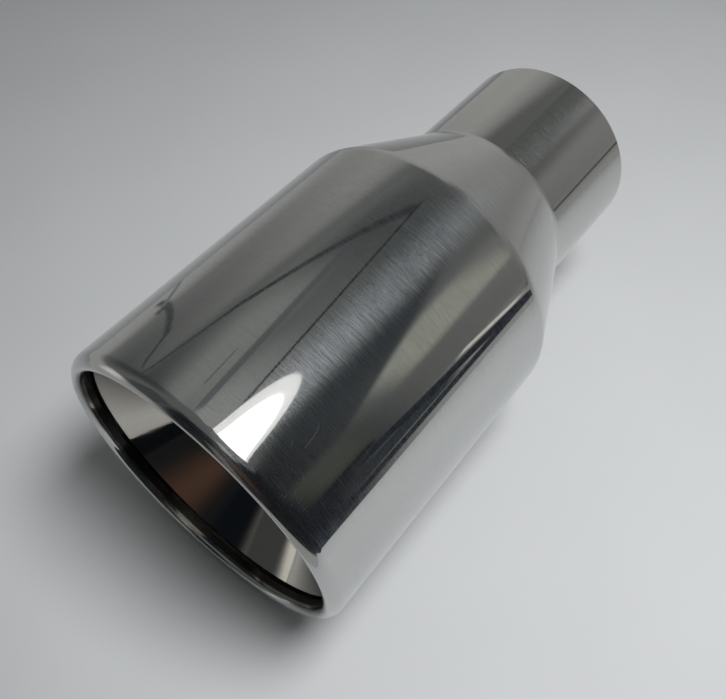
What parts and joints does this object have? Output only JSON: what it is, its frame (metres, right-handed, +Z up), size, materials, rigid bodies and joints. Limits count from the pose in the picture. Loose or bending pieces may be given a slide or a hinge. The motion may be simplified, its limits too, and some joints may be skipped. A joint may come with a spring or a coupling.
{
  "type": "exhaust tip",
  "caption": "Round exhaust tip: polished shell with a rolled-in lip, an inner pipe flared out behind the lip, a conical shoulder and an inlet tube that slips over a tail pipe.",
  "frame": {"origin": "centre of the inlet tube's open end, on the tip's axis", "axes": "+Y along the axis, from the mouth to the inlet and on towards the tail pipe; the mouth faces -Y; +Z up as the tip lies in the picture and is fitted on a car"},
  "size_m": [0.1016, 0.1868, 0.1016],
  "materials": {
    "polished_stainless": "mirror-polished stainless steel sheet",
    "drawn_stainless": "bright stainless tube with fine drawing lines along the axis, flared at the mouth",
    "ground_weld": "weld ground and polished to a soft cloudy blend",
    "raw_weld": "weld bead as laid, lightly heat-tinted"
  },
  "bodies": {
    "root": {"outer_shell": "polished_stainless", "inlet_tube": "polished_stainless", "inner_liner": "drawn_stainless", "neck_weld": "ground_weld", "liner_weld": "raw_weld"}
  },
  "joints": []
}
